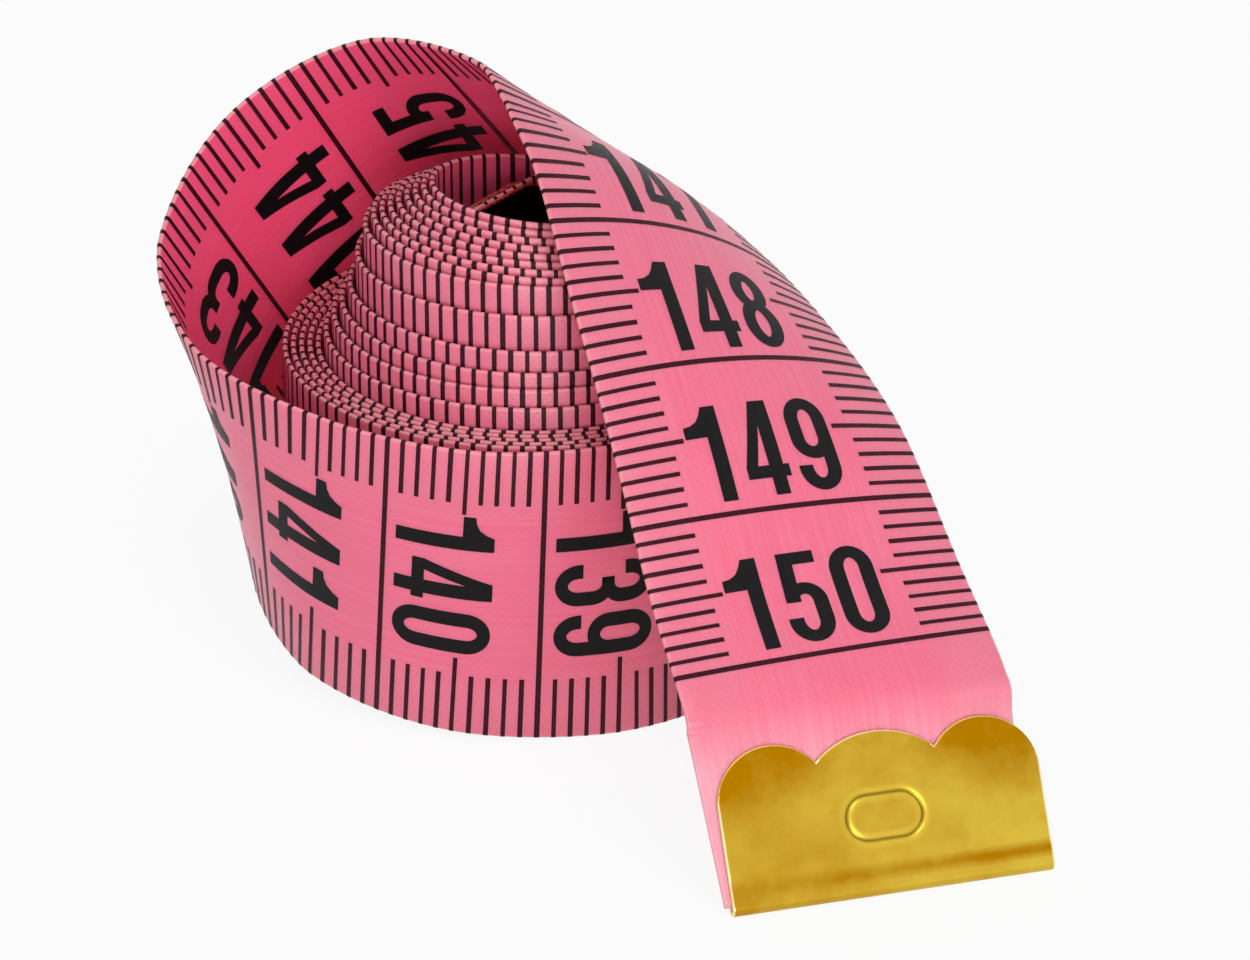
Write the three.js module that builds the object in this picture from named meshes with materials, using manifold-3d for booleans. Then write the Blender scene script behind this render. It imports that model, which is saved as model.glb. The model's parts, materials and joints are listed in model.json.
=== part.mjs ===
// A cloth tailor's tape measure, wound on edge into a coil whose core stands proud.
// The last turn leaves the coil, climbs behind it, folds over and comes down the front.
// Millimetres, +Z up, standing on z = 0, seen from the front along +Y.
import * as THREE from 'three';
import Module from 'manifold-3d';

const wasm = await Module();
wasm.setup();

const { degToRad } = THREE.MathUtils;
const UP = new THREE.Vector3(0, 0, 1);

// Tape.
const TAPE_WIDTH = 20;
const TAPE_THICKNESS = 0.2;
const TURN_GAP = 0.42;
const NODE_GAP = 0.3; // left between two lengths of tape that meet end to end

// Coil. Turns are counted from the core outwards.
const COIL_CENTRE = new THREE.Vector3(-3.5, 2, 0);
const CORE_SLACK = 1.15; // from the ends of the clip across the core to the core's wall
const TURNS = 16.375;
const STEPS_PER_TURN = 24;
const COIL_END_ANGLE = degToRad(-70);
const TURN_PITCH = TAPE_THICKNESS + TURN_GAP;

// The core is pushed up out of the coil and stands as a blunt, tilted cone with a flared foot.
const PROFILE_TURNS = [0, 7.1, 8, 8.8, 9.7, 10.5, 11.3, 12.2];
const PROFILE_RISES = [10.3, 7.85, 6.1, 4.15, 2.95, 2.2, 1.2, 0];
const CORE_TILT = 0.9; // how much higher its high side stands than its middle
const CORE_TILT_ANGLE = degToRad(-150); // where the high side lies

// The inner end turns off the core wall and crosses the core in a straight line.
const INNER_BEND_RADIUS = 1.2;
const INNER_BEND_ANGLE = degToRad(80);
const INNER_BEND_STEPS = 6;

// Free stretch: the middle of the tape, then the way its upper edge lies from there.
const LOOP_ROUTE = [
  [[-8, -14.4, 10.4], [1.3, -1.1, 20]],
  [[-17.3, -10.1, 11.5], [0.6, -3.2, 19.6]],
  [[-22.9, -2.5, 13.6], [-2.7, -6.4, 18.6]],
  [[-23.1, 6.5, 17.6], [-7.9, -6.5, 17.5]],
  [[-18.3, 14.1, 22.7], [-9.5, -5, 17]],
  [[-10, 16.2, 27.6], [-9.5, -7.2, 16]],
  [[-1.5, 10.8, 29.7], [-11, -9, 14]],
];
const CREST = [[1.2, 6.8, 29.5], [-12.3, -9.9, 12.2]];
const TAIL_ROUTE = [
  [[3.3, 2.5, 28.7], [-13.7, -10.5, 10.4]],
  [[6.8, -5.3, 24.9], [-15.7, -9.7, 6.5]],
  [[10.2, -12.8, 20], [-17.4, -8.1, 3.2]],
  [[13, -20.3, 14.1], [-18.5, -7, 1]],
];
const STEPS_PER_ROUTE_POINT = 5;

// Past the crest the tape is crowned across its width, most at one route point.
const CROWN_HEIGHT = 1.8;
const CROWN_ROUTE_POINT = 10.6;
const CROWN_SPREAD = 2.2; // in route points
const ACROSS_STEPS = 4;

// End clips: folded sheet brass, cut along the open edge in three lobes.
const CLIP_WIDTH = 20;
const CLIP_DEPTH = 9.7;
const CLIP_SHEET = 0.25;
const CLIP_SLOT_CLEARANCE = 0.15; // each side of the tape
const SIDE_LOBE_RADIUS = 3.5;
const NOTCH_DEPTH = 1.4;
const STAMP_LENGTH = 4.6;
const STAMP_HEIGHT = 2.6;
const STAMP_GROOVE_RADIUS = 0.3;
const STAMP_DEPTH = 0.14;
const STAMP_FROM_FOLD = 4.6;

// The outer clip stands on its fold and leans back; it was crimped off centre.
const OUTER_CLIP_FOLD = new THREE.Vector3(17, -32.9, 0); // middle of the fold, on the floor
const OUTER_CLIP_HEADING = degToRad(16);
const OUTER_CLIP_LEAN = degToRad(33);
const OUTER_CLIP_SHIFT = 1;
const CLIP_LEAD = 2; // straight tape before the mouth of a clip

const CLIP_SLOT = TAPE_THICKNESS + 2 * CLIP_SLOT_CLEARANCE;
const FOLD_RADIUS = CLIP_SLOT / 2 + CLIP_SHEET;
const TAPE_END_FROM_FOLD = CLIP_SHEET + NODE_GAP; // from the clip's folded edge
const CORE_RADIUS = CLIP_DEPTH / 2 + CORE_SLACK; // the core is wound round the inner end's clip

const tapeMaterial = () => new THREE.MeshStandardMaterial({
  color: 0xf0708f, roughness: 0.45, metalness: 0,
});
const brassMaterial = () => new THREE.MeshStandardMaterial({
  color: 0xc8a02a, roughness: 0.3, metalness: 1,
});

const profile = new THREE.LinearInterpolant(PROFILE_TURNS, PROFILE_RISES, 1);

// Height of a turn's lower edge above the floor, at an angle round the coil.
function turnRise(turn, angle) {
  const [rise] = profile.evaluate(turn);
  const tilt = CORE_TILT * Math.cos(angle - CORE_TILT_ANGLE);
  return rise + tilt * Math.min(1, rise / PROFILE_RISES[1]);
}

// One place along the tape: its middle, the way to its upper edge and its outer face.
function station(middle, across, outward, crown = 0) {
  return { middle, across, outward, crown };
}

function coilStation(turn) {
  const angle = COIL_END_ANGLE + (TURNS - turn) * 2 * Math.PI;
  const outward = new THREE.Vector3(Math.cos(angle), Math.sin(angle), 0);
  const middle = outward.clone().multiplyScalar(CORE_RADIUS + TURN_PITCH * turn).add(COIL_CENTRE);
  middle.z = turnRise(turn, angle) + TAPE_WIDTH / 2;
  return station(middle, UP.clone(), outward);
}

// The bend and the straight end inside the core, listed from the tip outwards.
function innerEndStations() {
  const start = coilStation(0);
  const startAngle = Math.atan2(start.outward.y, start.outward.x);
  const bendCentre = start.middle.clone().addScaledVector(start.outward, -INNER_BEND_RADIUS);
  const bend = Array.from({ length: INNER_BEND_STEPS }, (_, k) => {
    const angle = startAngle + INNER_BEND_ANGLE * (1 - k / INNER_BEND_STEPS);
    const outward = new THREE.Vector3(Math.cos(angle), Math.sin(angle), 0);
    return station(
      bendCentre.clone().addScaledVector(outward, INNER_BEND_RADIUS), UP.clone(), outward,
    );
  });
  const inwards = new THREE.Vector3().crossVectors(UP, bend[0].outward);
  const tip = bend[0].middle.clone().addScaledVector(inwards, CLIP_DEPTH);
  return [station(tip, UP.clone(), bend[0].outward), ...bend];
}

// Axes of the outer clip: across to the tape's upper edge, along away from the fold, outward.
function outerClipAxes() {
  const across = new THREE.Vector3(-Math.cos(OUTER_CLIP_HEADING), -Math.sin(OUTER_CLIP_HEADING), 0);
  const level = new THREE.Vector3().crossVectors(UP, across);
  const along = UP.clone().multiplyScalar(Math.cos(OUTER_CLIP_LEAN))
    .addScaledVector(level, -Math.sin(OUTER_CLIP_LEAN));
  const outward = new THREE.Vector3().crossVectors(along, across);
  return { across, along, outward };
}

// The free stretch as smooth curves through its route points, from just before the coil's end.
function freeStretch() {
  const { across, along } = outerClipAxes();
  const foldCentre = OUTER_CLIP_FOLD.clone().addScaledVector(UP, FOLD_RADIUS);
  const fromFold = (distance) => foldCentre.clone().addScaledVector(along, distance - FOLD_RADIUS);
  const before = coilStation(TURNS - 2 / STEPS_PER_TURN);
  const end = coilStation(TURNS);
  const rows = [...LOOP_ROUTE, CREST, ...TAIL_ROUTE].map(([middle, lean]) => [
    new THREE.Vector3(...middle), new THREE.Vector3(...lean).normalize(),
  ]);
  const straight = [CLIP_DEPTH + CLIP_LEAD, CLIP_DEPTH, TAPE_END_FROM_FOLD];
  const route = [
    [before.middle, before.across],
    [end.middle, end.across],
    ...rows,
    ...straight.map((distance) => [fromFold(distance), across.clone()]),
  ];
  return {
    last: route.length - 1,
    middles: new THREE.CatmullRomCurve3(route.map(([middle]) => middle)),
    leans: new THREE.CatmullRomCurve3(route.map(([, lean]) => lean)),
  };
}

function freeStation(stretch, routePoint) {
  const t = routePoint / stretch.last;
  const travel = stretch.middles.getTangent(t);
  const across = stretch.leans.getPoint(t);
  across.addScaledVector(travel, -across.dot(travel)).normalize();
  const outward = new THREE.Vector3().crossVectors(across, travel).normalize();
  const offCrown = (routePoint - CROWN_ROUTE_POINT) / CROWN_SPREAD;
  const crown = CROWN_HEIGHT * Math.exp(-offCrown * offCrown);
  return station(stretch.middles.getPoint(t), across, outward, crown);
}

function freeStations(stretch, from, to) {
  const steps = Math.round((to - from) * STEPS_PER_ROUTE_POINT);
  return Array.from({ length: steps + 1 }, (_, k) => (
    freeStation(stretch, from + (to - from) * k / steps)
  ));
}

// Draws an end station back along the tape by half the gap that the two lengths keep.
function trimEnd(stations, atStart) {
  const list = atStart ? stations : [...stations].reverse();
  const towards = list[1].middle.clone().sub(list[0].middle).normalize();
  list[0].middle.addScaledVector(towards, NODE_GAP / 2);
}

// Points of one station's outline: outer face upper edge to lower, inner face back again.
function stationOutline({ middle, across, outward, crown }, acrossSteps) {
  const face = (side) => Array.from({ length: acrossSteps + 1 }, (_, k) => {
    const share = 1 - 2 * k / acrossSteps;
    const height = crown * (1 - share * share) + side * TAPE_THICKNESS / 2;
    return middle.clone()
      .addScaledVector(across, share * TAPE_WIDTH / 2)
      .addScaledVector(outward, height);
  });
  return [...face(1), ...face(-1).reverse()];
}

// A closed band through the stations.
function bandGeometry(stations, acrossSteps) {
  const outlines = stations.map((place) => stationOutline(place, acrossSteps));
  const size = outlines[0].length;
  const positions = outlines.flat().flatMap((point) => point.toArray());
  const triangles = [];
  for (let row = 0; row < outlines.length - 1; row += 1) {
    for (let k = 0; k < size; k += 1) {
      const a = row * size + k;
      const b = row * size + (k + 1) % size;
      triangles.push(a, a + size, b);
      triangles.push(b, a + size, b + size);
    }
  }
  const lastRow = (outlines.length - 1) * size;
  for (let k = 0; k < acrossSteps; k += 1) {
    const mirror = size - 1 - k;
    triangles.push(k, k + 1, mirror);
    triangles.push(k + 1, mirror - 1, mirror);
    triangles.push(lastRow + k, lastRow + mirror, lastRow + k + 1);
    triangles.push(lastRow + k + 1, lastRow + mirror, lastRow + mirror - 1);
  }
  const geometry = new THREE.BufferGeometry();
  geometry.setAttribute('position', new THREE.Float32BufferAttribute(positions, 3));
  geometry.setIndex(triangles);
  geometry.computeVertexNormals();
  return geometry;
}

// Least distance, in plan, from the outer face of any station to the inner face a turn further out.
function leastTurnGap(stations) {
  const plan = ({ middle, outward }, side) => new THREE.Vector2(
    middle.x + side * outward.x * TAPE_THICKNESS / 2,
    middle.y + side * outward.y * TAPE_THICKNESS / 2,
  );
  const outer = stations.map((place) => plan(place, 1));
  const inner = stations.map((place) => plan(place, -1));
  const closest = new THREE.Vector2();
  let least = Infinity;
  for (let i = 0; i < outer.length; i += 1) {
    for (let k = i + STEPS_PER_TURN / 2; k < inner.length - 1; k += 1) {
      const run = inner[k + 1].clone().sub(inner[k]);
      const share = outer[i].clone().sub(inner[k]).dot(run) / run.lengthSq();
      closest.copy(inner[k]).addScaledVector(run, Math.min(1, Math.max(0, share)));
      least = Math.min(least, outer[i].distanceTo(closest));
    }
  }
  return least;
}

// Turns a geometry into a solid, with vertices that share a place joined.
function solidOf(geometry) {
  const flat = geometry.index ? geometry.toNonIndexed() : geometry;
  const points = flat.getAttribute('position');
  const known = new Map();
  const vertices = [];
  const triangles = [];
  for (let i = 0; i < points.count; i += 1) {
    const place = [points.getX(i), points.getY(i), points.getZ(i)];
    const key = place.map((value) => Math.round(value * 1e5)).join(' ');
    if (!known.has(key)) {
      known.set(key, vertices.length / 3);
      vertices.push(...place);
    }
    triangles.push(known.get(key));
  }
  const mesh = new wasm.Mesh({
    numProp: 3,
    vertProperties: new Float32Array(vertices),
    triVerts: new Uint32Array(triangles),
  });
  mesh.merge();
  return new wasm.Manifold(mesh);
}

function geometryOf(solid) {
  const { vertProperties, triVerts } = solid.getMesh();
  const geometry = new THREE.BufferGeometry();
  geometry.setAttribute('position', new THREE.Float32BufferAttribute(vertProperties, 3));
  geometry.setIndex(Array.from(triVerts));
  geometry.computeVertexNormals();
  return geometry;
}

// The folded channel, drawn as a U in the plane of depth and thickness.
function clipChannel() {
  const inside = CLIP_SLOT / 2;
  const profile = new THREE.Shape();
  profile.moveTo(FOLD_RADIUS, CLIP_DEPTH);
  profile.lineTo(inside, CLIP_DEPTH);
  profile.lineTo(inside, FOLD_RADIUS);
  profile.absarc(0, FOLD_RADIUS, inside, 0, -Math.PI, true);
  profile.lineTo(-inside, CLIP_DEPTH);
  profile.lineTo(-FOLD_RADIUS, CLIP_DEPTH);
  profile.lineTo(-FOLD_RADIUS, FOLD_RADIUS);
  profile.absarc(0, FOLD_RADIUS, FOLD_RADIUS, -Math.PI, 0, false);
  profile.closePath();
  const channel = new THREE.ExtrudeGeometry(profile, {
    depth: CLIP_WIDTH, bevelEnabled: false, curveSegments: 12,
  });
  channel.translate(0, 0, -CLIP_WIDTH / 2);
  channel.rotateY(-Math.PI / 2);
  return channel;
}

// The clip's outline, flat: straight sides and three lobes along the open edge.
function clipOutline() {
  const half = CLIP_WIDTH / 2;
  const sideTop = CLIP_DEPTH - SIDE_LOBE_RADIUS;
  const sideMiddle = half - SIDE_LOBE_RADIUS;
  const notchAngle = Math.asin(1 - NOTCH_DEPTH / SIDE_LOBE_RADIUS);
  const notch = sideMiddle - SIDE_LOBE_RADIUS * Math.cos(notchAngle);
  const middleRadius = (notch * notch + NOTCH_DEPTH * NOTCH_DEPTH) / (2 * NOTCH_DEPTH);
  const middleAngle = Math.asin(notch / middleRadius);
  const outline = new THREE.Shape();
  outline.moveTo(-half, -FOLD_RADIUS);
  outline.lineTo(half, -FOLD_RADIUS);
  outline.lineTo(half, sideTop);
  outline.absarc(sideMiddle, sideTop, SIDE_LOBE_RADIUS, 0, Math.PI - notchAngle, false);
  outline.absarc(
    0, CLIP_DEPTH - middleRadius, middleRadius,
    Math.PI / 2 - middleAngle, Math.PI / 2 + middleAngle, false,
  );
  outline.absarc(-sideMiddle, sideTop, SIDE_LOBE_RADIUS, notchAngle, Math.PI, false);
  outline.closePath();
  const blank = new THREE.ExtrudeGeometry(outline, {
    depth: 4 * FOLD_RADIUS, bevelEnabled: false, curveSegments: 14,
  });
  blank.translate(0, 0, -2 * FOLD_RADIUS);
  return blank;
}

// The oval groove stamped into the outer plate.
function clipStamp() {
  const groove = new THREE.TorusGeometry(STAMP_HEIGHT / 2, STAMP_GROOVE_RADIUS, 12, 32);
  groove.scale(STAMP_LENGTH / STAMP_HEIGHT, 1, 1);
  groove.translate(0, STAMP_FROM_FOLD, FOLD_RADIUS + STAMP_GROOVE_RADIUS - STAMP_DEPTH);
  return groove;
}

// A clip with its fold at y = 0, its open edge up +Y and its stamped face towards +Z.
function clipGeometry() {
  const folded = solidOf(clipChannel()).intersect(solidOf(clipOutline()));
  return geometryOf(folded.subtract(solidOf(clipStamp())));
}

// Puts a clip where the tape ends: origin at the folded edge, x to the tape's lower edge.
function placeClip(mesh, foldMiddle, across, along, shift) {
  const side = across.clone().negate();
  const outward = new THREE.Vector3().crossVectors(side, along);
  mesh.applyMatrix4(new THREE.Matrix4().makeBasis(side, along, outward));
  mesh.position.copy(foldMiddle).addScaledVector(side, shift);
  return mesh;
}

function namedMesh(name, geometry, material) {
  const mesh = new THREE.Mesh(geometry, material);
  mesh.name = name;
  return mesh;
}

function coilMesh(innerEnd) {
  const steps = Math.round(TURNS * STEPS_PER_TURN);
  const wound = Array.from({ length: steps + 1 }, (_, k) => coilStation(k / STEPS_PER_TURN));
  const stations = [...innerEnd, ...wound];
  console.log(`least gap between turns ${leastTurnGap(stations).toFixed(3)} mm`);
  trimEnd(stations, false);
  return namedMesh('tape_coil', bandGeometry(stations, 1), tapeMaterial());
}

function loopMesh(stretch, crest) {
  const stations = freeStations(stretch, 1, crest);
  trimEnd(stations, true);
  trimEnd(stations, false);
  return namedMesh('tape_loop', bandGeometry(stations, ACROSS_STEPS), tapeMaterial());
}

function tailMesh(stretch, crest) {
  const stations = freeStations(stretch, crest, stretch.last - 1);
  const tip = freeStation(stretch, stretch.last);
  trimEnd(stations, true);
  return namedMesh('tape_tail', bandGeometry([...stations, tip], ACROSS_STEPS), tapeMaterial());
}

function innerClipMesh(innerEnd) {
  const [tip, mouth] = innerEnd;
  const along = mouth.middle.clone().sub(tip.middle).normalize();
  const fold = tip.middle.clone().addScaledVector(along, -TAPE_END_FROM_FOLD);
  const mesh = namedMesh('inner_end_clip', clipGeometry(), brassMaterial());
  return placeClip(mesh, fold, tip.across, along, 0);
}

function outerClipMesh() {
  const { across, along } = outerClipAxes();
  const fold = OUTER_CLIP_FOLD.clone().addScaledVector(UP, FOLD_RADIUS)
    .addScaledVector(along, -FOLD_RADIUS);
  const mesh = namedMesh('outer_end_clip', clipGeometry(), brassMaterial());
  return placeClip(mesh, fold, across, along, OUTER_CLIP_SHIFT);
}

const innerEnd = innerEndStations();
const stretch = freeStretch();
const crest = LOOP_ROUTE.length + 2;

const coil = new THREE.Group();
coil.name = 'coil';
coil.add(coilMesh(innerEnd), loopMesh(stretch, crest), innerClipMesh(innerEnd));

const tail = new THREE.Group();
tail.name = 'tail';
tail.add(tailMesh(stretch, crest), outerClipMesh());

const tape = new THREE.Group();
tape.name = 'tape_measure';
tape.add(coil, tail);

// The origin is the middle of the footprint, on the floor.
const footprint = new THREE.Box3().setFromObject(tape, true).getCenter(new THREE.Vector3());
tape.position.set(-footprint.x, -footprint.y, 0);

export default tape;
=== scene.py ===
"""A pink cloth tailor's tape measure: its cloth, printed scale, brass end clips and studio."""
import json
import logging
import math
from collections.abc import Iterable
from dataclasses import dataclass
from enum import Enum

import bmesh
import bpy
import numpy as np
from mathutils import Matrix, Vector


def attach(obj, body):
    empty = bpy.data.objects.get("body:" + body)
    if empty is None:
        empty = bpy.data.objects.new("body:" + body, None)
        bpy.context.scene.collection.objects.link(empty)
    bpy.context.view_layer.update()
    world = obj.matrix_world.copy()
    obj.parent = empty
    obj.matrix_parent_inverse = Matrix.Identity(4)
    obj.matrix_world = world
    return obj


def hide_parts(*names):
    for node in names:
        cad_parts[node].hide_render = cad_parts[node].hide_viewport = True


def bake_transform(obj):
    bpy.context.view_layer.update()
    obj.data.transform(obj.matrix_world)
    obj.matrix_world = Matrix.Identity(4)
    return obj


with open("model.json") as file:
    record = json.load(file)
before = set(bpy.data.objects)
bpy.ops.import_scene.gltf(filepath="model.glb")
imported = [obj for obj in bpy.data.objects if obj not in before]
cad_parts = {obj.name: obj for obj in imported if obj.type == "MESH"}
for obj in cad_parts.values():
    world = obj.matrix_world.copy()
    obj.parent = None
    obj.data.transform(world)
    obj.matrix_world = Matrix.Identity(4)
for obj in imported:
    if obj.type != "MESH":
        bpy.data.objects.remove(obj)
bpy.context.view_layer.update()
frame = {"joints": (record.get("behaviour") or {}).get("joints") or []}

LOG = logging.getLogger("tape_measure")
MM = 0.001
UP = np.array([0.0, 0.0, 1.0])
MERGE_DISTANCE = 1e-7
MARKS_PER_CM = 10
ARC_STEP_DEGREES = 6
# Noise: how fine the cloth's streaks are, and the spans of noise that show.
STREAK_SCALE = (90, 3400, 1)
STREAK_SPAN = (0.35, 0.75)
PATCH_SPAN = (0.25, 0.75)
# A station's columns: the tape's middle, the way to edge A, the way outward and the bow across.
MIDDLE, ACROSS, OUTWARD, BOW = slice(0, 3), slice(3, 6), slice(6, 9), 9
Array = np.ndarray
Colour = tuple[float, float, float]
Path = list[tuple[float, float]]


class Face(Enum):
    """A printed face of the tape; the value is the side of the cloth that it lies on."""

    OUTER = 1
    INNER = -1


class Surface(Enum):
    """A surface of the cloth; the value is its material's place in the list."""

    OUTER_FACE = 0
    CUT_EDGE = 1
    INNER_FACE = 2


class Body(Enum):
    """A body of the model; the value is its name in the frame."""

    COIL = "coil"
    TAIL = "tail"


@dataclass(frozen=True)
class TapeSize:
    """The cloth strip, in metres."""

    width: float = 20 * MM
    thickness: float = 0.32 * MM
    last_mark: float = 1.5
    blank_end: float = 14.25 * MM


@dataclass(frozen=True)
class CoilSize:
    """The wound stretch, in metres; turns count from the core outwards."""

    centre: tuple[float, float, float] = (-0.0035, 0.002, 0.0)
    core_radius: float = 6 * MM
    pitch: float = 0.524 * MM
    turns: float = 19.375
    end_angle: float = math.radians(-70)
    profile_turns: tuple[float, ...] = (0, 8.4, 9.45, 10.4, 11.45, 12.4, 13.45, 14.4)
    profile_rises: tuple[float, ...] = (0.0103, 0.00785, 0.0061, 0.00415, 0.00295, 0.0022, 0.0012, 0)
    core_tilt: float = 0.9 * MM
    core_tilt_angle: float = math.radians(-150)
    inner_bend_radius: float = 1.2 * MM
    inner_bend_angle: float = math.radians(80)


@dataclass(frozen=True)
class ClipSize:
    """A folded brass end clip, in metres."""

    width: float = 20 * MM
    depth: float = 9.7 * MM
    sheet: float = 0.25 * MM
    fold_radius: float = 0.5 * MM
    side_lobe_radius: float = 3.5 * MM
    notch_depth: float = 1.4 * MM
    stamp_length: float = 4.7 * MM
    stamp_height: float = 2.7 * MM
    stamp_depth: float = 0.13 * MM
    stamp_groove: float = 0.16 * MM
    stamp_from_fold: float = 4.6 * MM
    crease_from_fold: float = 1.9 * MM
    crease_depth: float = 0.05 * MM
    crease_reach: float = 0.5 * MM
    tape_end_from_fold: float = 0.55 * MM
    lead: float = 2 * MM
    drawn_in: float = 0.06


@dataclass(frozen=True)
class OuterEnd:
    """How the free end's clip stands on the floor, in metres and radians."""

    fold: tuple[float, float, float] = (0.017, -0.0329, 0.0)
    heading: float = math.radians(16)
    lean: float = math.radians(33)
    shift: float = 1 * MM


@dataclass(frozen=True)
class Crown:
    """The bow across the tape past the crest, greatest at one route point."""

    height: float = 1.8 * MM
    route_point: float = 10.6
    spread: float = 2.2


# The free stretch: the tape's middle in metres, then the way its upper edge lies from there.
LOOP_ROUTE = (
    ((-0.0080, -0.0144, 0.0104), (1.3, -1.1, 20.0)),
    ((-0.0173, -0.0101, 0.0115), (0.6, -3.2, 19.6)),
    ((-0.0229, -0.0025, 0.0136), (-2.7, -6.4, 18.6)),
    ((-0.0231, 0.0065, 0.0176), (-7.9, -6.5, 17.5)),
    ((-0.0183, 0.0141, 0.0227), (-9.5, -5.0, 17.0)),
    ((-0.0100, 0.0162, 0.0276), (-9.5, -7.2, 16.0)),
    ((-0.0015, 0.0108, 0.0297), (-11.0, -9.0, 14.0)),
)
CREST = ((0.0012, 0.0068, 0.0295), (-12.3, -9.9, 12.2))
TAIL_ROUTE = (
    ((0.0033, 0.0025, 0.0287), (-13.7, -10.5, 10.4)),
    ((0.0068, -0.0053, 0.0249), (-15.7, -9.7, 6.5)),
    ((0.0102, -0.0128, 0.0200), (-17.4, -8.1, 3.2)),
    ((0.0130, -0.0203, 0.0141), (-18.5, -7.0, 1.0)),
)
CREST_ROUTE_POINT = len(LOOP_ROUTE) + 2


def unit(ways: Array) -> Array:
    """Gives each way the length 1."""
    return ways / np.linalg.norm(ways, axis=-1, keepdims=True)


def level_way(angle: float) -> Array:
    """The level way at an angle from +X."""
    return np.array([math.cos(angle), math.sin(angle), 0.0])


class RouteCurve:
    """A centripetal Catmull-Rom curve through a list of points."""

    def __init__(self, points: Iterable[Array]) -> None:
        """Keeps the points, with one more drawn on past each end.

        Args:
            points: the points that the curve passes through, in order.
        """
        inner = np.array(list(points), float)
        self.last = len(inner) - 1
        before = 2 * inner[0] - inner[1]
        after = 2 * inner[-1] - inner[-2]
        self.points = np.vstack([before, inner, after])

    def at(self, place: float) -> Array:
        """Gives a point of the curve.

        Args:
            place: how far along, counted in points.

        Returns:
            The point.
        """
        index = min(int(place), self.last - 1)
        share = place - index
        p0, p1, p2, p3 = self.points[index:index + 4]
        d0, d1, d2 = (math.sqrt(np.linalg.norm(step)) for step in (p1 - p0, p2 - p1, p3 - p2))
        d1 = d1 or 1.0
        d0 = d0 or d1
        d2 = d2 or d1
        t1 = ((p1 - p0) / d0 - (p2 - p0) / (d0 + d1) + (p2 - p1) / d1) * d1
        t2 = ((p2 - p1) / d1 - (p3 - p1) / (d1 + d2) + (p3 - p2) / d2) * d1
        square = -3 * p1 + 3 * p2 - 2 * t1 - t2
        cube = 2 * p1 - 2 * p2 + t1 + t2
        return p1 + t1 * share + square * share**2 + cube * share**3


@dataclass(frozen=True)
class ClipPlace:
    """Where a clip sits: the middle of its fold and its three axes."""

    fold: Array
    side: Array
    along: Array

    @property
    def outward(self) -> Array:
        """The way the stamped plate faces."""
        return np.cross(self.side, self.along)


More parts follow.
